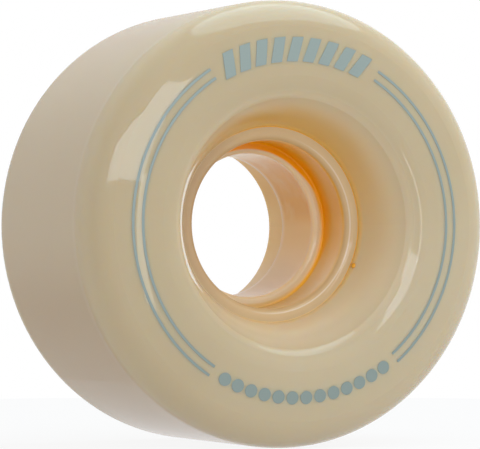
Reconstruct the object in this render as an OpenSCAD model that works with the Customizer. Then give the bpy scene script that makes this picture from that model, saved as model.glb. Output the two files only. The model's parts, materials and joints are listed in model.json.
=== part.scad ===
// Bare wheel of a quad roller skate: a urethane tyre cast on a moulded core.
// The axle lies along Y, the printed face looks towards -Y and the wheel's centre is the origin.
// Sections are drawn as radius against distance along the axle, with the printed face at the top.

/* [Wheel] */
// Diameter over the tread
wheel_d = 58; // [54:0.5:70]
// Width from the back face to the crown of the printed face
wheel_w = 32; // [28:0.5:44]

/* [Printed face] */
// Radial distance from the tread in to the crown, the highest ring of the face
crown_inset = 9.85; // [9:0.05:11]
// Radius of the shoulder, where the face rolls over into the tread
shoulder_r = 4.5; // [3:0.1:5.5]
// Fall of the face from the crown to the top of the shoulder's circle
face_fall = 0.5; // [0.3:0.05:1.2]
// Radius of the roll from the crown towards the dish
dish_roll_r = 6.5; // [4:0.1:8]
// Angle through which that roll turns down
dish_roll_angle = 18; // [10:1:25]
// Radius of the tighter roll that follows it into the dish's wall
dish_edge_r = 1.9; // [1:0.1:2.5]
// Radius of the wall's slight bulge, down to the core's mouth
dish_wall_r = 35; // [25:1:60]
// Depth that turning takes off the cast tread and crown
turned = 0.002; // [0.002:0.001:0.05]

/* [Back face] */
// Radius of the corner between the back face and the tread
back_corner_r = 2; // [1:0.1:4]
// Depth of the core's back end below the back face
back_recess = 0.6; // [0.4:0.1:2]

/* [Core] */
// Diameter of the bearing seats
seat_d = 22; // [21:0.1:24]
// Depth of the seat on the printed side, which leaves its bearing a little proud
front_seat_depth = 6.5; // [6:0.1:7]
// Depth of the seat on the back, the width of its bearing
back_seat_depth = 7; // [6:0.1:9]
// Distance between the two seat shoulders, the length of the bearing spacer
spacer_len = 10; // [9:0.1:14]
// Diameter of the bore between the seats
bore_d = 19; // [16:0.1:20]
// Wall of the core around the seats
core_wall = 1.7; // [1.6:0.05:2.6]
// Radius of the rounded mouth on the printed side
front_lip_r = 1.2; // [0.6:0.1:1.5]
// Radius of the rounded mouth on the back
back_lip_r = 0.5; // [0.3:0.1:1.5]
// Radius of the seat shoulder's inner edge
step_edge_r = 0.6; // [0.3:0.05:0.9]
// Radius of the corner between a seat's wall and its shoulder, inside the bearing's own chamfer
corner_r = 0.25; // [0.1:0.05:0.3]

/* [Locking flange] */
// Diameter of the flange that the urethane flows around
flange_d = 34; // [30:0.5:40]
// Thickness of the flange
flange_w = 4; // [3:0.1:6]
// Number of notches in the flange's rim
notch_count = 12; // [6:1:18]
// Width of a notch
notch_w = 3; // [2:0.1:4]
// Radial depth of a notch
notch_depth = 2.4; // [1:0.1:3]

/* [Bonding film] */
// Thickness of the bonding agent between core and tyre
bond_t = 0.12; // [0.08:0.02:0.3]

/* [Print] */
// Thickness of the ink
ink_t = 0.03; // [0.02:0.01:0.06]
// Width of a printed line
line_w = 0.34; // [0.2:0.02:0.6]
// Radial distance from the tread in to the outer line
outer_line_inset = 6; // [5.5:0.05:6.5]
// Radial distance from the tread in to the inner line
inner_line_inset = 7.3; // [7:0.05:8]
// Direction of the middle of the top gap, where the lines break
top_angle = 91; // [80:0.5:100]
// Half of the arc that the top gap leaves free
top_half_angle = 31.5; // [29:0.5:40]
// Direction of the middle of the bottom gap
bottom_angle = 273; // [260:0.5:280]
// Half of the arc that the bottom gap leaves free
bottom_half_angle = 36; // [34:0.5:40]
// Number of slanted bars in the top gap
bar_count = 9; // [5:1:9]
// Width of a bar
bar_w = 1.55; // [1:0.05:1.8]
// Radial height of a bar
bar_h = 3.2; // [2:0.1:4]
// Sideways lean of a bar over its height
bar_lean = 1.1; // [0:0.1:2]
// Angle from bar to bar
bar_step_angle = 6.2; // [5.2:0.1:6.4]
// Number of dots in the bottom gap
dot_count = 13; // [5:1:13]
// Diameter of a dot
dot_d = 1.7; // [1:0.05:1.8]
// Angle from dot to dot
dot_step_angle = 5.1; // [4.9:0.1:5.4]

/* [Hidden] */
$fn = 180;

// Radii of the wheel
tread_r = wheel_d / 2;
crown_r = tread_r - crown_inset;
seat_r = seat_d / 2;
bore_r = bore_d / 2;
core_r = seat_r + core_wall;
bonded_r = core_r + bond_t;
flange_r = flange_d / 2;

// Levels along the axle
front_s = wheel_w / 2;
back_s = -wheel_w / 2;
core_back_s = back_s + back_recess;
back_step_s = core_back_s + back_seat_depth;
front_step_s = back_step_s + spacer_len;
core_front_s = front_step_s + front_seat_depth;
core_mid_s = (back_step_s + front_step_s) / 2;

// The shoulder's arc and the face's arc have the same direction at the angle face_angle
cast_front_s = front_s + turned;
shoulder_c = [tread_r - shoulder_r, cast_front_s - face_fall - shoulder_r];
face_run = shoulder_c[0] - crown_r;
face_dr = (face_run ^ 2 + face_fall ^ 2) / (2 * face_fall);
face_r = shoulder_r + face_dr;
face_angle = acos(face_run / face_dr);
face_c = [crown_r, cast_front_s - face_r];

// The dish rolls down from the crown in two arcs, and a third, its wall, runs on to the core's mouth
roll_c = [crown_r, cast_front_s - dish_roll_r];
roll_end = 90 + dish_roll_angle;
edge_c = roll_c + polar(dish_roll_r - dish_edge_r, roll_end);
mouth = [bonded_r, core_front_s];
mouth_dir = mouth - edge_c;
mouth_angle = (atan2(mouth_dir[1], mouth_dir[0]) + 360) % 360;
mouth_gap = norm(mouth_dir);
edge_gap = dish_wall_r - dish_edge_r;
wall_turn = acos((edge_gap ^ 2 + mouth_gap ^ 2 - dish_wall_r ^ 2) / (2 * edge_gap * mouth_gap));
wall_c = edge_c + polar(edge_gap, mouth_angle + wall_turn);
edge_end = mouth_angle + wall_turn - 180;
wall_end = 180 - asin((mouth[1] - wall_c[1]) / dish_wall_r);

// Corners of the back face
back_corner_c = [tread_r - back_corner_r, back_s + back_corner_r];
back_edge_c = [bonded_r + back_recess, core_back_s];

// Print
outer_line_r = tread_r - outer_line_inset;
inner_line_r = tread_r - inner_line_inset;
band_r = (outer_line_r + inner_line_r) / 2;
left_start = top_angle + top_half_angle;
left_end = bottom_angle - bottom_half_angle;
right_start = bottom_angle + bottom_half_angle - 360;
right_end = top_angle - top_half_angle;

// Reach of a cut past the piece that it cuts, along the axle and around an arc
past = 1;
past_angle = 15;

function polar(r, a) = [r * cos(a), r * sin(a)];

// Lays an upright revolved piece down, so that its axle runs along Y
module on_axle() {
  rotate([90, 0, 0]) children();
}

// Wedge with its point at the origin, from angle a0 to angle a1
module wedge(reach, a0, a1) {
  polygon([[0, 0], polar(reach, a0), polar(reach, (a0 + a1) / 2), polar(reach, a1)]);
}

// What lies outside an arc around c
module outside_arc(c, r, a0, a1) {
  translate(c) difference() {
    wedge(2 * r, a0, a1);
    circle(r);
  }
}

// Section of the tyre, with its printed face raised by a skin
module tyre_section(skin) {
  top_s = front_s + skin;
  difference() {
    polygon([
      [bonded_r, top_s],
      [tread_r, top_s],
      [tread_r, back_s],
      [bonded_r, back_s]
    ]);
    outside_arc(shoulder_c, shoulder_r + turned, 0, face_angle);
    outside_arc(face_c, face_r + skin, face_angle - past_angle, 90);
    outside_arc(roll_c, dish_roll_r + skin, 90, roll_end + past_angle);
    outside_arc(edge_c, dish_edge_r + turned + skin, roll_end, edge_end);
    outside_arc(wall_c, dish_wall_r + skin, edge_end - past_angle, wall_end + past_angle);
    outside_arc(back_corner_c, back_corner_r, 270, 360);
    outside_arc(back_edge_c, back_recess, 180, 270);
  }
}

// Section of the core: a sleeve with a rounded bearing seat sunk into each end
module core_section() {
  difference() {
    translate([bore_r, core_back_s]) square([core_r - bore_r, core_front_s - core_back_s]);
    difference() {
      translate([bore_r, front_step_s]) square([seat_r - bore_r, front_seat_depth + past]);
      outside_arc([seat_r - corner_r, front_step_s + corner_r], corner_r, 270, 360);
    }
    difference() {
      translate([bore_r, core_back_s - past]) square([seat_r - bore_r, back_seat_depth + past]);
      outside_arc([seat_r - corner_r, back_step_s - corner_r], corner_r, 0, 90);
    }
    outside_arc([seat_r + front_lip_r, core_front_s - front_lip_r], front_lip_r, 90, 180);
    outside_arc([bore_r + step_edge_r, front_step_s - step_edge_r], step_edge_r, 90, 180);
    outside_arc([bore_r + step_edge_r, back_step_s + step_edge_r], step_edge_r, 180, 270);
    outside_arc([seat_r + back_lip_r, core_back_s + back_lip_r], back_lip_r, 180, 270);
  }
}

// Notched locking disc, grown on every side by a skin
module flange_disc(skin) {
  disc_w = flange_w + 2 * skin;
  slot_w = notch_w - 2 * skin;
  slot_floor_r = flange_r - notch_depth + skin;
  translate([0, 0, core_mid_s - disc_w / 2]) difference() {
    cylinder(r = flange_r + skin, h = disc_w);
    for (i = [0 : notch_count - 1])
      rotate(i * 360 / notch_count)
        translate([slot_floor_r, -slot_w / 2, -past])
          cube([notch_depth + past, slot_w, disc_w + 2 * past]);
  }
}

module tyre() {
  color("wheat") on_axle() difference() {
    rotate_extrude() tyre_section(0);
    flange_disc(bond_t);
  }
}

module core() {
  color("bisque") on_axle() {
    rotate_extrude() core_section();
    difference() {
      flange_disc(0);
      translate([0, 0, core_back_s]) cylinder(r = core_r - core_wall / 2, h = core_front_s - core_back_s);
    }
  }
}

module bond_coat() {
  core_len = core_front_s - core_back_s;
  color("darkorange") on_axle() difference() {
    union() {
      translate([0, 0, core_back_s]) cylinder(r = bonded_r, h = core_len);
      flange_disc(bond_t);
    }
    translate([0, 0, core_back_s - past]) cylinder(r = core_r, h = core_len + 2 * past);
    flange_disc(0);
  }
}

// Thin layer of ink that follows the face, from radius r0 out to radius r1
module ink_section(r0, r1) {
  difference() {
    intersection() {
      tyre_section(ink_t);
      translate([r0, core_front_s]) square([r1 - r0, wheel_w]);
    }
    tyre_section(0);
  }
}

module print_line(line_r, a0, a1) {
  color("lightslategray") on_axle() rotate(a0)
    rotate_extrude(angle = a1 - a0) ink_section(line_r - line_w / 2, line_r + line_w / 2);
}

module print_line_outer_left() {
  print_line(outer_line_r, left_start, left_end);
}

module print_line_inner_left() {
  print_line(inner_line_r, left_start, left_end);
}

module print_line_outer_right() {
  print_line(outer_line_r, right_start, right_end);
}

module print_line_inner_right() {
  print_line(inner_line_r, right_start, right_end);
}

// Prints a row of count children, centred on the angle middle
module print_row(count, step_angle, middle, height) {
  color("lightslategray") on_axle() intersection() {
    rotate_extrude() ink_section(band_r - height, band_r + height);
    linear_extrude(front_s + past)
      for (i = [0 : count - 1])
        rotate(middle + (i - (count - 1) / 2) * step_angle) translate([band_r, 0]) children();
  }
}

module print_bars() {
  print_row(bar_count, bar_step_angle, top_angle, bar_h)
    polygon([
      [-bar_h / 2, -bar_w / 2 + bar_lean / 2],
      [-bar_h / 2, bar_w / 2 + bar_lean / 2],
      [bar_h / 2, bar_w / 2 - bar_lean / 2],
      [bar_h / 2, -bar_w / 2 - bar_lean / 2]
    ]);
}

module print_dots() {
  print_row(dot_count, dot_step_angle, bottom_angle, dot_d) circle(d = dot_d);
}

tyre();
core();
bond_coat();
print_line_outer_left();
print_line_inner_left();
print_line_outer_right();
print_line_inner_right();
print_bars();
print_dots();
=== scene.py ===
"""Looks of a bare quad roller skate wheel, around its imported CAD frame.

The axle lies along Y, the printed face looks towards -Y and the wheel's centre is the origin. A depth is a
distance along the axle, from the centre towards the printed face. An angle round the axle is in degrees, as
seen from that face: 0 is on its right and 90 at its top. Colours are linear RGB.
"""

import json
import math

import bmesh
import bpy
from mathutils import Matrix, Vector


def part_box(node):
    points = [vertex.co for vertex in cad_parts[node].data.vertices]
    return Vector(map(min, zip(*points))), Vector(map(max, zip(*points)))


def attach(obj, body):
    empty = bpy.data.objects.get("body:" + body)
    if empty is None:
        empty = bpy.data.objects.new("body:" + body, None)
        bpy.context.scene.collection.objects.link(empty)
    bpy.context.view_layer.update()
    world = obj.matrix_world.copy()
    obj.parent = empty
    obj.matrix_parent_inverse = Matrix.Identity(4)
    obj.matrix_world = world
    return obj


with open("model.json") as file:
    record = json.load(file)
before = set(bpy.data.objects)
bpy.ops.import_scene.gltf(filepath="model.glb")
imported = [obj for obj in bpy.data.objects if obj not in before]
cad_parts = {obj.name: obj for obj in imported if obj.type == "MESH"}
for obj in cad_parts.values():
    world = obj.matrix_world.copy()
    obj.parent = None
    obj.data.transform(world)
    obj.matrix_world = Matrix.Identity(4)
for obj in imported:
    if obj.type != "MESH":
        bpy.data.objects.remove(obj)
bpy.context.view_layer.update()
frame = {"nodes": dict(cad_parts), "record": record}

MM = 0.001

# Photograph's frame in pixels, and the pixel where the wheel's centre lies in it
PHOTO_W, PHOTO_H = 480, 449
CENTRE_PX = (244.6, 225.2)

# Camera: direction from the wheel in degrees, distance in metres, lens and sensor in millimetres
CAMERA_AZIMUTH, CAMERA_ELEVATION = -25.63, -0.93
CAMERA_DISTANCE = 0.3985
LENS, SENSOR = 224.9, 36.0

# Colours of the lamps, how far the front ones stand from the wheel, and where the overhead one hangs
COOL, COOL_TOP, WARM = (0.78, 0.89, 1.0), (0.64, 0.87, 1.0), (1.0, 0.95, 0.90)
FRONT_DISTANCE, STRIP_DISTANCE = 1.4, 0.515
OVERHEAD_PLACE, OVERHEAD_TURN = (0.292, -0.125, 0.695), 16

# Levels of the wheel, taken from the frame
tyre_low, tyre_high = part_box("tyre")
core_low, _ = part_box("core")
TREAD_R = tyre_high.x
FLOOR_Z = tyre_low.z
MOUTH = -core_low.y

# Depths where the turned tread ends and where the seats' shoulders lie, radii of the seats and the dish, and
# the height below which the tread is smoother
TREAD_FRONT, TREAD_BACK = 11.0 * MM, -14.0 * MM
SHOULDER, BACK_SHOULDER = 1.6 * MM, -8.4 * MM
SEAT_R = 11.0 * MM
DISH_EDGE_R, DISH_WALL_R = 17.6 * MM, 14.9 * MM
# Radius of the painted highlight line round the core's front lip
CREST_HIGHLIGHT_R = SEAT_R + 0.64 * MM
FOOT_Z = -20.5 * MM

# Urethane: pairs of colours that noise mixes, and single ones by place
CREAM = (0.505, 0.402, 0.252), (0.527, 0.421, 0.268)
# Painted light: cream lighter at the lower right, as if lit from below
CREAM_LIT_LOW = (0.545, 0.442, 0.29)
TURNED_BACK, TURNED_FRONT = (0.49, 0.348, 0.205), (0.49, 0.362, 0.19)
# Tread with painted shade at the lower left and painted light at the left
TURNED_SHADED_LOW, TURNED_LIT_LEFT = (0.452, 0.308, 0.158), (0.555, 0.425, 0.265)
# Painted highlight along the tread's front rim
TREAD_RIM_HIGHLIGHT = (0.58, 0.47, 0.31)
# Painted glow of the dish's wall low down, and painted warm shade high up
DISH_GLOW_LOW, DISH_WARM_SHADE_HIGH = (0.69, 0.57, 0.39), (0.67, 0.425, 0.155)
# Painted warm shade near the core's mouth, golden above it and browner below it
DISH_GOLDEN_SHADE, DISH_BROWN_SHADE, DISH_AMBER = (0.76, 0.45, 0.125), (0.69, 0.47, 0.27), (1.0, 0.51, 0.12)
# Painted shade, multiplied in low on the dish's rounded edge
DISH_SHADE_FACTOR = (0.91, 0.90, 0.90)
CAST_ROUGHNESS, CAST_ROUGHNESS_RANGE = 0.018, 0.02
TREAD_ROUGHNESS, FOOT_ROUGHNESS = 0.25, 0.13

# Core
LIP = (0.58, 0.395, 0.205), (0.61, 0.425, 0.23)
# Painted shade on the lips' left side, and the front lip's painted highlight line
LIP_SHADED_LEFT, LIP_CREST_HIGHLIGHT = (0.50, 0.335, 0.185), (0.74, 0.60, 0.45)
# Painted light inside the core, lighter on the left and a warm glow on the right, and darker towards the
# bottom
BORE_LIT_LEFT, BORE_WARM_GLOW_RIGHT, BORE_LOW = (0.93, 0.77, 0.53), (0.90, 0.59, 0.20), (0.69, 0.435, 0.15)
BORE_ORANGE, BORE_STREAK = (0.83, 0.41, 0.0), (0.80, 0.58, 0.36)
BACK_SEAT, BACK_SEAT_HIGH = (0.90, 0.615, 0.25), (0.86, 0.52, 0.12)
# Painted glow on the shoulders' edges, and a painted highlight on the front rounding
EDGE_FLAT_GLOW, EDGE_ROUND_HIGHLIGHT = (0.73, 0.57, 0.365), (0.88, 0.68, 0.44)
# Painted warm shade up the front seat's wall, and painted amber shade in its inner corner
SEAT_WARM_SHADE = (0.79, 0.375, 0.0)
AMBER_SHADE_PALE, AMBER_SHADE_DEEP = (0.96, 0.50, 0.04), (0.92, 0.355, 0.0)
LIP_ROUGHNESS, BORE_ROUGHNESS, EDGE_ROUGHNESS = 0.06, 0.24, 0.08

# Bonding agent and ink
FILM_THICK = (0.84, 0.40, 0.03), (0.76, 0.30, 0.005)
FILM_THIN, FILM_THIN_LEFT = (0.76, 0.48, 0.19), (0.55, 0.385, 0.21)
FILM_ROUGHNESS, FILM_ROUGHNESS_RANGE = 0.12, 0.08
INK = (0.253, 0.304, 0.280), (0.267, 0.317, 0.293)
# Painted shade for the ink towards the bottom
INK_SHADED_LOW = (0.224, 0.271, 0.248)
INK_ROUGHNESS, INK_ROUGHNESS_RANGE = 0.30, 0.04

# Drop of bonding agent: its place on the dish's wall as radius and depth, the wall's normal there, its angle
# round the axle, its size, how deep its foot sits in the wall, and its sag as a share of its radius
DROP_PLACE = (13.0 * MM, 8.6 * MM)
DROP_NORMAL = (0.936, 0.352)
DROP_ANGLE = -24.5
DROP_R, DROP_H = 0.35 * MM, 0.26 * MM
DROP_SUNK = 0.03 * MM
DROP_SAG = 0.12
DROP_RINGS, DROP_SIDES = 6, 24
# Lobes of its outline: number, height as a share of the radius, and phase
DROP_LOBES = ((2, 0.06, 0.7), (3, 0.03, 0.0))


def direction(azimuth, elevation):
    """Unit vector from the wheel: azimuth 0 is in front of the printed face, 90 is on its right."""
    a, e = math.radians(azimuth), math.radians(elevation)
    return Vector((math.sin(a) * math.cos(e), -math.cos(a) * math.cos(e), math.sin(e)))


def aim(obj, place, roll=0.0):
    """Puts a camera or lamp at a place, looking at the wheel's centre, then rolls it by degrees."""
    obj.location = place
    obj.rotation_euler = (-place).to_track_quat("-Z", "Y").to_euler()
    obj.rotation_euler.rotate_axis("Z", math.radians(roll))


def link(obj):
    bpy.context.scene.collection.objects.link(obj)
    return obj


# Camera


def make_camera():
    data = bpy.data.cameras.new("camera")
    data.lens, data.sensor_width, data.sensor_fit = LENS, SENSOR, "HORIZONTAL"
    data.shift_x = (PHOTO_W / 2 - CENTRE_PX[0]) / PHOTO_W
    data.shift_y = (CENTRE_PX[1] - PHOTO_H / 2) / PHOTO_W
    camera = link(bpy.data.objects.new("camera", data))
    aim(camera, direction(CAMERA_AZIMUTH, CAMERA_ELEVATION) * CAMERA_DISTANCE)
    bpy.context.scene.camera = camera


# Lights


def softbox(name, shape, width, height, radiance, colour):
    """Lamp whose radiance is set, so that its size doesn't change its brightness."""
    data = bpy.data.lights.new(name, "AREA")
    data.shape = shape
    data.size, data.size_y = width, height
    fill = math.pi / 4 if shape == "ELLIPSE" else 1.0
    data.energy = radiance * math.pi * width * height * fill
    data.color = colour
    lamp = link(bpy.data.objects.new(name, data))
    lamp.visible_camera = False
    return lamp


def make_lights():
    """A wide softbox high in front, a narrow strip at the front right and a large softbox overhead."""
    wide = softbox("front_softbox", "RECTANGLE", width=1.22, height=0.315, radiance=3.9, colour=COOL)
    aim(wide, direction(azimuth=-10.3, elevation=14.9) * FRONT_DISTANCE, roll=-9.3)
    strip = softbox("front_strip", "RECTANGLE", width=0.028, height=0.118, radiance=3.5, colour=WARM)
    aim(strip, direction(azimuth=10.3, elevation=-1.3) * STRIP_DISTANCE, roll=-8)
    overhead = softbox("overhead_softbox", "ELLIPSE", width=0.76, height=1.04, radiance=2.3, colour=COOL_TOP)
    overhead.location = OVERHEAD_PLACE
    overhead.rotation_euler = (0, 0, math.radians(OVERHEAD_TURN))


# Stage


def seen_directly(tree):
    """1 for camera, glossy and transmission rays, and 0 for the rays that light the object."""
    path = tree.nodes.new("ShaderNodeLightPath")
    seen = path.outputs["Is Camera Ray"]
    for ray in ("Is Glossy Ray", "Is Transmission Ray"):
        larger = tree.nodes.new("ShaderNodeMath")
        larger.operation = "MAXIMUM"
        tree.links.new(seen, larger.inputs[0])
        tree.links.new(path.outputs[ray], larger.inputs[1])
        seen = larger.outputs[0]
    return seen


def make_world(ambient, slope):
    """White all round to the eye. Its light is strongest in the direction of the slope."""
    world = bpy.data.worlds.new("studio")
    bpy.context.scene.world = world
    world.use_nodes = True
    tree = world.node_tree
    tree.nodes.clear()
    out = tree.nodes.new("ShaderNodeOutputWorld")
    mix = tree.nodes.new("ShaderNodeMixShader")
    lit = tree.nodes.new("ShaderNodeBackground")
    lit.inputs["Color"].default_value = (1, 1, 1, 1)
    place = tree.nodes.new("ShaderNodeTexCoord")
    along = tree.nodes.new("ShaderNodeVectorMath")
    along.operation = "DOT_PRODUCT"
    along.inputs[1].default_value = slope
    level = tree.nodes.new("ShaderNodeMath")
    level.operation = "ADD"
    level.inputs[1].default_value = ambient
    tree.links.new(place.outputs["Generated"], along.inputs[0])
    tree.links.new(along.outputs["Value"], level.inputs[0])
    tree.links.new(level.outputs[0], lit.inputs["Strength"])
    white = tree.nodes.new("ShaderNodeBackground")
    white.inputs["Color"].default_value = (1, 1, 1, 1)
    white.inputs["Strength"].default_value = 1.0
    tree.links.new(seen_directly(tree), mix.inputs[0])
    tree.links.new(lit.outputs[0], mix.inputs[1])
    tree.links.new(white.outputs[0], mix.inputs[2])
    tree.links.new(mix.outputs[0], out.inputs[0])


def make_floor(radius, colour, glow, bounce):
    """Round pale floor under the wheel, clear from below. It keeps a faint shadow.

    Glow is its share of plain white to the eye, and bounce the same for the rays that light the object.
    """
    mesh = bpy.data.meshes.new("floor")
    rim = [math.radians(a) for a in range(0, 360, 5)]
    corners = [(radius * math.cos(a), radius * math.sin(a), FLOOR_Z) for a in rim]
    mesh.from_pydata(corners, [], [range(len(rim))])
    floor = link(bpy.data.objects.new("floor", mesh))
    material = bpy.data.materials.new("floor")
    material.use_nodes = True
    tree = material.node_tree
    tree.nodes.clear()
    out = tree.nodes.new("ShaderNodeOutputMaterial")
    paper = tree.nodes.new("ShaderNodeBsdfDiffuse")
    paper.inputs["Color"].default_value = (*colour, 1)
    light = tree.nodes.new("ShaderNodeEmission")
    light.inputs["Strength"].default_value = 1.0
    bright = tree.nodes.new("ShaderNodeMixShader")
    share = tree.nodes.new("ShaderNodeMath")
    share.operation = "MULTIPLY_ADD"
    share.inputs[1].default_value = glow - bounce
    share.inputs[2].default_value = bounce
    tree.links.new(seen_directly(tree), share.inputs[0])
    tree.links.new(share.outputs[0], bright.inputs[0])
    tree.links.new(paper.outputs[0], bright.inputs[1])
    tree.links.new(light.outputs[0], bright.inputs[2])
    clear = tree.nodes.new("ShaderNodeBsdfTransparent")
    side = tree.nodes.new("ShaderNodeNewGeometry")
    sides = tree.nodes.new("ShaderNodeMixShader")
    tree.links.new(side.outputs["Backfacing"], sides.inputs[0])
    tree.links.new(bright.outputs[0], sides.inputs[1])
    tree.links.new(clear.outputs[0], sides.inputs[2])
    tree.links.new(sides.outputs[0], out.inputs[0])
    mesh.materials.append(material)


# Materials


class Shader:
    """A material on the Principled shader, with short ways to add nodes.

    radius, depth, cos_a and sin_a are a place's distance from the axle, its depth and its direction round it.
    """

    def __init__(self, name):
        self.material = bpy.data.materials.new(name)
        self.material.use_nodes = True
        self.tree = self.material.node_tree
        self.bsdf = self.tree.nodes["Principled BSDF"]
        # Places in the wheel's own frame, in metres
        self.place = self.tree.nodes.new("ShaderNodeTexCoord").outputs["Object"]
        split = self.tree.nodes.new("ShaderNodeSeparateXYZ")
        self.tree.links.new(self.place, split.inputs[0])
        x, y, z = split.outputs
        self.radius = self.math("SQRT", self.math("ADD", self.times(x, x), self.times(z, z)))
        self.depth = self.times(y, -1.0)
        self.cos_a = self.math("DIVIDE", x, self.radius)
        self.sin_a = self.math("DIVIDE", z, self.radius)

    def set(self, **values):
        """Sets sockets of the shader, with underscores for spaces in their names."""
        for name, value in values.items():
            self.bsdf.inputs[name.replace("_", " ")].default_value = value

    def plug(self, value, socket):
        """Links an output to a socket, or sets the socket to a plain value."""
        if isinstance(value, bpy.types.NodeSocket):
            self.tree.links.new(value, socket)
        else:
            socket.default_value = value

    def surface(self, colour, roughness):
        """Gives the shader its colour and its roughness."""
        self.plug(colour, self.bsdf.inputs["Base Color"])
        self.plug(roughness, self.bsdf.inputs["Roughness"])

    def math(self, operation, *values):
        node = self.tree.nodes.new("ShaderNodeMath")
        node.operation = operation
        for socket, value in zip(node.inputs, values):
            self.plug(value, socket)
        return node.outputs[0]

    def times(self, first, *others):
        """Product of two or more numbers."""
        product = first
        for other in others:
            product = self.math("MULTIPLY", product, other)
        return product

    def scaled(self, value, scale, start):
        """The value times scale, plus start."""
        return self.math("MULTIPLY_ADD", value, scale, start)

    def above(self, value, limit):
        return self.math("GREATER_THAN", value, limit)

    def below(self, value, limit):
        return self.math("LESS_THAN", value, limit)

    def ramp(self, value, low, high):
        """0 at low and 1 at high, smooth between them. High may be the smaller number."""
        node = self.tree.nodes.new("ShaderNodeMapRange")
        node.interpolation_type = "SMOOTHSTEP"
        self.plug(value, node.inputs["Value"])
        node.inputs["From Min"].default_value = low
        node.inputs["From Max"].default_value = high
        return node.outputs["Result"]

    def mix(self, factor, a, b, blend="MIX"):
        """Colour a where factor is 0, and colour b where it is 1. With MULTIPLY, a times b there."""
        node = self.tree.nodes.new("ShaderNodeMix")
        node.data_type = "RGBA"
        node.blend_type = blend
        self.plug(factor, node.inputs[0])
        for socket, colour in ((node.inputs[6], a), (node.inputs[7], b)):
            self.plug(colour if isinstance(colour, bpy.types.NodeSocket) else (*colour, 1), socket)
        return node.outputs[2]

    def blend(self, factor, a, b):
        """Number a where factor is 0, and number b where it is 1."""
        node = self.tree.nodes.new("ShaderNodeMix")
        self.plug(factor, node.inputs[0])
        self.plug(a, node.inputs[2])
        self.plug(b, node.inputs[3])
        return node.outputs[0]

    def noise(self, scale, detail=2.0, stretch=(1, 1, 1)):
        mapping = self.tree.nodes.new("ShaderNodeMapping")
        mapping.inputs["Scale"].default_value = stretch
        self.tree.links.new(self.place, mapping.inputs["Vector"])
        node = self.tree.nodes.new("ShaderNodeTexNoise")
        node.inputs["Scale"].default_value = scale
        node.inputs["Detail"].default_value = detail
        self.tree.links.new(mapping.outputs[0], node.inputs["Vector"])
        return node.outputs[0]

    def facing(self, angle):
        """1 at an angle round the axle, and 0 opposite to it."""
        a = math.radians(angle)
        along = self.math("ADD", self.times(self.cos_a, math.cos(a)), self.times(self.sin_a, math.sin(a)))
        return self.scaled(along, 0.5, 0.5)

    def towards(self, angle, low, high):
        """0 where facing an angle is low or less, and 1 where it is high or more."""
        return self.ramp(self.facing(angle), low, high)

    def bump(self, height, strength, distance):
        node = self.tree.nodes.new("ShaderNodeBump")
        node.inputs["Strength"].default_value = strength
        node.inputs["Distance"].default_value = distance
        self.tree.links.new(height, node.inputs["Height"])
        self.tree.links.new(node.outputs[0], self.bsdf.inputs["Normal"])


def painted_dish_glow(s):
    """Colour of the dish's wall, painted light: lighter low down as if lit through the wall, and warmer and
    darker high up as painted shade.
    """
    warm_shade_high = s.times(s.ramp(s.depth, 15.2 * MM, 10.5 * MM), s.facing(100))
    glow = s.mix(warm_shade_high, DISH_GLOW_LOW, DISH_WARM_SHADE_HIGH)
    # Painted warm shade near the core, golden above it and browner below it, and amber along the film where it
    # is thick
    near = s.ramp(s.depth, MOUTH + 3.5 * MM, MOUTH + 0.3 * MM)
    golden_shade = s.times(near, s.towards(80, 0.5, 1.0), 0.6)
    glow = s.mix(golden_shade, glow, DISH_GOLDEN_SHADE)
    brown_shade = s.times(near, s.towards(-100, 0.7, 1.0), 0.6)
    glow = s.mix(brown_shade, glow, DISH_BROWN_SHADE)
    edge = s.ramp(s.depth, MOUTH + 0.9 * MM, MOUTH + 0.1 * MM)
    thick = s.times(s.scaled(s.towards(35, 0.45, 0.8), 0.35, 0.4), s.towards(0, 0.1, 0.5))
    return s.mix(s.times(edge, thick), glow, DISH_AMBER)


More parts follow.
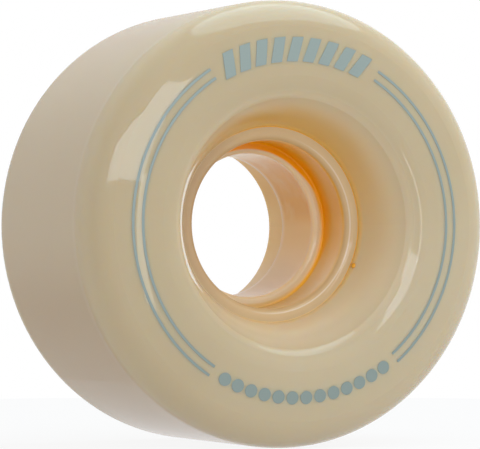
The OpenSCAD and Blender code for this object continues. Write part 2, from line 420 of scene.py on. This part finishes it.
def make_urethane():
    s = Shader("urethane")
    # Turned tread, between the cast shoulder and the cast back corner
    tread = s.times(
        s.ramp(s.radius, TREAD_R - 0.25 * MM, TREAD_R - 0.05 * MM),
        s.ramp(s.depth, TREAD_FRONT + 1.5 * MM, TREAD_FRONT + 0.3 * MM),
        s.ramp(s.depth, TREAD_BACK, TREAD_BACK + 0.5 * MM),
    )
    cream = s.mix(s.noise(90), *CREAM)
    # Painted light: the cream is lighter towards the lower right
    cream = s.mix(s.towards(-55, 0.6, 0.95), cream, CREAM_LIT_LOW)
    turned = s.mix(s.ramp(s.depth, 1 * MM, 9 * MM), TURNED_BACK, TURNED_FRONT)
    # Painted shade at the tread's lower left, and painted light at its left
    turned = s.mix(s.towards(-130, 0.7, 1.0), turned, TURNED_SHADED_LOW)
    turned = s.mix(s.towards(162, 0.86, 1.0), turned, TURNED_LIT_LEFT)
    colour = s.mix(tread, cream, turned)
    # Painted highlight where the tread meets the shoulder, clearest at the upper left
    rim = s.times(
        s.ramp(s.depth, TREAD_FRONT - 1.2 * MM, TREAD_FRONT + 1.3 * MM),
        s.ramp(s.depth, TREAD_FRONT + 3.4 * MM, TREAD_FRONT + 1.5 * MM),
        s.ramp(s.radius, TREAD_R - 2 * MM, TREAD_R - 1.5 * MM),
        s.scaled(s.towards(140, 0.6, 0.95), 0.4, 0.35),
    )
    colour = s.mix(rim, colour, TREAD_RIM_HIGHLIGHT)
    # The dish's wall in its painted glow, with painted shade low on its rounded edge
    wall = s.times(s.ramp(s.radius, DISH_EDGE_R, DISH_WALL_R), s.above(s.depth, MOUTH - 0.2 * MM))
    colour = s.mix(wall, colour, painted_dish_glow(s))
    dish_shade = s.times(
        s.ramp(s.radius, DISH_EDGE_R + 0.1 * MM, DISH_EDGE_R - 1.0 * MM),
        s.ramp(s.radius, DISH_WALL_R - 0.9 * MM, DISH_WALL_R + 0.1 * MM),
        s.above(s.depth, MOUTH),
        s.towards(-100, 0.6, 0.95),
    )
    colour = s.mix(dish_shade, colour, DISH_SHADE_FACTOR, blend="MULTIPLY")
    # The tread is duller than the cast faces, and smoother at its foot
    cast = s.scaled(s.noise(160), CAST_ROUGHNESS_RANGE, CAST_ROUGHNESS)
    foot = s.ramp(s.times(s.sin_a, s.radius), FOOT_Z + 0.3 * MM, FOOT_Z - 0.4 * MM)
    s.surface(colour, s.blend(tread, cast, s.blend(foot, TREAD_ROUGHNESS, FOOT_ROUGHNESS)))
    # Slight waves of the cast faces, and fine lines of the turning tool
    waves = s.times(s.noise(110, detail=1), 0.5)
    lines = s.times(s.noise(400, stretch=(0.02, 8, 0.02)), 0.03)
    s.bump(s.blend(tread, waves, lines), strength=0.5, distance=0.05 * MM)
    s.set(Subsurface_Weight=1.0, Subsurface_Radius=(1.0, 0.62, 0.35), Subsurface_Scale=1.8 * MM, IOR=1.45)
    return s.material


def core_lip(s):
    """Colour of the core's lips, with painted shade on the left, and a painted highlight line round the front
    one, clearest right.
    """
    lip = s.mix(s.noise(120), *LIP)
    # Painted shade: the lips darker on the left
    lip = s.mix(s.towards(180, 0.6, 1.0), lip, LIP_SHADED_LEFT)
    # Painted highlight: a light line round the front lip
    off_crest_highlight = s.math("ABSOLUTE", s.math("SUBTRACT", s.radius, CREST_HIGHLIGHT_R))
    crest_highlight = s.times(
        s.ramp(off_crest_highlight, 0.13 * MM, 0.03 * MM), s.towards(-15, 0.45, 0.85), s.above(s.depth, SHOULDER), 0.8
    )
    return s.mix(crest_highlight, lip, LIP_CREST_HIGHLIGHT)


def core_bore(s, edges):
    """Colour inside the core, painted light: lighter as if lit through the thin wall, and a warmer painted
    glow on the right.
    """
    right = s.towards(28, 0.6, 1.0)
    bore = s.mix(right, BORE_LIT_LEFT, BORE_WARM_GLOW_RIGHT)
    bore = s.mix(s.towards(-95, 0.6, 1.0), bore, BORE_LOW)
    orange = s.times(s.towards(38, 0.88, 0.97), s.ramp(s.noise(300), 0.1, 0.5))
    bore = s.mix(orange, bore, BORE_ORANGE)
    streaks = s.times(s.noise(500, stretch=(1, 0.06, 1)), 0.3)
    bore = s.mix(streaks, bore, BORE_STREAK)
    back_seat = s.mix(s.towards(50, 0.85, 1.0), BACK_SEAT, BACK_SEAT_HIGH)
    bore = s.mix(s.times(s.below(s.depth, BACK_SHOULDER), right), bore, back_seat)
    # Painted glow on the edges, and a painted highlight on the front rounding
    rounding = s.ramp(s.depth, SHOULDER - 0.05 * MM, SHOULDER - 0.35 * MM)
    return s.mix(edges, bore, s.mix(rounding, EDGE_FLAT_GLOW, EDGE_ROUND_HIGHLIGHT))


def seat_amber_shade(s, bore):
    """Adds the painted amber shade in the front seat's inner corner, and its painted warm shade on the seat's
    wall.
    """
    height = s.math("SUBTRACT", s.depth, SHOULDER)
    # The painted warm shade fades in rings towards the mouth, and is widest at the top right
    rings = s.times(s.noise(1500, stretch=(0.02, 1, 0.02)), 2.0 * MM)
    fading = s.ramp(s.math("ADD", height, rings), 8.8 * MM, 4.6 * MM)
    seat_warm_shade = s.times(s.above(height, 0.1 * MM), fading, s.towards(60, 0.25, 0.9))
    bore = s.mix(seat_warm_shade, bore, SEAT_WARM_SHADE)
    # The painted amber shade lies on the shoulder's outer part, further in at the top, and climbs the wall to
    # a ragged edge
    land_r = s.scaled(s.towards(85, 0.70, 0.92), -0.65 * MM, SEAT_R - 0.40 * MM)
    on_land = s.ramp(s.math("SUBTRACT", s.radius, land_r), 0.0, 0.25 * MM)
    ragged = s.scaled(s.noise(500), 1.0 * MM, -0.5 * MM)
    climb = s.towards(45, 0.45, 0.9)
    reach = s.scaled(s.times(climb, climb), 1.7 * MM, 0.65 * MM)
    on_wall = s.ramp(s.math("DIVIDE", s.math("ADD", height, ragged), reach), 1.2, 0.3)
    amber = s.times(on_wall, on_land, s.above(height, -0.3 * MM), s.towards(50, 0.05, 0.5))
    return s.mix(amber, bore, s.mix(s.towards(50, 0.5, 0.9), AMBER_SHADE_PALE, AMBER_SHADE_DEEP))


def make_core_plastic():
    s = Shader("core_plastic")
    inside = s.ramp(s.radius, SEAT_R + 0.15 * MM, SEAT_R)
    # Edges of the two seat shoulders, lighter as painted glow with a painted highlight on the front rounding,
    # and smoother
    front_edge = s.times(
        s.ramp(s.radius, SEAT_R - 0.35 * MM, SEAT_R - 0.75 * MM),
        s.ramp(s.depth, SHOULDER - 1.2 * MM, SHOULDER - 0.4 * MM),
    )
    back_edge = s.times(
        s.ramp(s.depth, BACK_SHOULDER + 1.7 * MM, BACK_SHOULDER + 0.5 * MM), s.above(s.depth, BACK_SHOULDER)
    )
    edges = s.math("MAXIMUM", front_edge, back_edge)
    roughness = s.scaled(inside, BORE_ROUGHNESS - LIP_ROUGHNESS, LIP_ROUGHNESS)
    bore = seat_amber_shade(s, core_bore(s, edges))
    s.surface(s.mix(inside, core_lip(s), bore), s.blend(edges, roughness, EDGE_ROUGHNESS))
    s.set(Subsurface_Weight=0.3, Subsurface_Radius=(1.0, 0.6, 0.3), Subsurface_Scale=1.0 * MM, IOR=1.4)
    return s.material


def make_bonding_agent():
    s = Shader("bonding_agent")
    # Thick and amber on the right, thin and pale on the left and below
    amber = s.mix(s.noise(300), *FILM_THICK)
    pale = s.mix(s.towards(180, 0.5, 0.85), FILM_THIN, FILM_THIN_LEFT)
    colour = s.mix(s.towards(35, 0.4, 0.8), pale, amber)
    s.surface(colour, s.scaled(s.noise(400), FILM_ROUGHNESS_RANGE, FILM_ROUGHNESS))
    s.set(IOR=1.5)
    return s.material


def make_ink():
    s = Shader("ink")
    colour = s.mix(s.noise(2600, detail=4), *INK)
    # Painted shade: the ink darker towards the bottom
    colour = s.mix(s.facing(-90), colour, INK_SHADED_LOW)
    s.surface(colour, s.scaled(s.noise(500), INK_ROUGHNESS_RANGE, INK_ROUGHNESS))
    return s.material


# Pieces


def make_drop(material):
    """Drop of bonding agent that was squeezed out on the dish's wall, just above the core's mouth."""
    angle = math.radians(DROP_ANGLE)
    out = Vector((math.cos(angle), 0, math.sin(angle)))
    normal = (-out * DROP_NORMAL[0] + Vector((0, -DROP_NORMAL[1], 0))).normalized()
    around = Vector((-math.sin(angle), 0, math.cos(angle)))
    down = normal.cross(around)
    foot = out * DROP_PLACE[0] + Vector((0, -DROP_PLACE[1], 0)) - normal * DROP_SUNK
    shape = bmesh.new()
    rings = []
    for i in range(DROP_RINGS):
        tilt = math.radians(90 * i / DROP_RINGS)
        sag = DROP_SAG * DROP_R * math.sin(tilt)
        ring = []
        for k in range(DROP_SIDES):
            turn = 2 * math.pi * k / DROP_SIDES
            lobed = sum((share * math.sin(n * turn + phase) for n, share, phase in DROP_LOBES), 1)
            reach = DROP_R * lobed * math.cos(tilt)
            place = foot + around * (reach * math.cos(turn)) + down * (reach * math.sin(turn) + sag)
            ring.append(shape.verts.new(place + normal * (DROP_H * math.sin(tilt))))
        rings.append(ring)
    top = shape.verts.new(foot + normal * DROP_H + down * DROP_SAG * DROP_R)
    for low, high in zip(rings, rings[1:]):
        for k in range(DROP_SIDES):
            n = (k + 1) % DROP_SIDES
            shape.faces.new((low[k], low[n], high[n], high[k]))
    for k in range(DROP_SIDES):
        shape.faces.new((rings[-1][k], rings[-1][(k + 1) % DROP_SIDES], top))
    shape.faces.new(list(reversed(rings[0])))
    bmesh.ops.recalc_face_normals(shape, faces=shape.faces)
    for face in shape.faces:
        face.smooth = len(face.verts) < DROP_SIDES
    mesh = bpy.data.meshes.new("bond_drop")
    shape.to_mesh(mesh)
    shape.free()
    mesh.materials.append(material)
    drop = link(bpy.data.objects.new("bond_drop", mesh))
    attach(drop, "root")


def dress_nodes():
    """Puts each record slot's material on the CAD nodes that have it."""
    made = {
        "urethane": make_urethane(),
        "core_plastic": make_core_plastic(),
        "bonding_agent": make_bonding_agent(),
        "ink": make_ink(),
    }
    for part in frame["record"]["subparts"]:
        node = frame["nodes"][part["node"]]
        node.material_slots[0].material = made[part["material_slot"]]
    return made


make_camera()
make_lights()
make_world(ambient=0.66, slope=(0.14, -0.20, 0.12))
make_floor(radius=0.15, colour=(0.60, 0.60, 0.60), glow=0.9, bounce=0.38)
materials = dress_nodes()
make_drop(materials["bonding_agent"])

bpy.context.scene.view_settings.view_transform = "Standard"
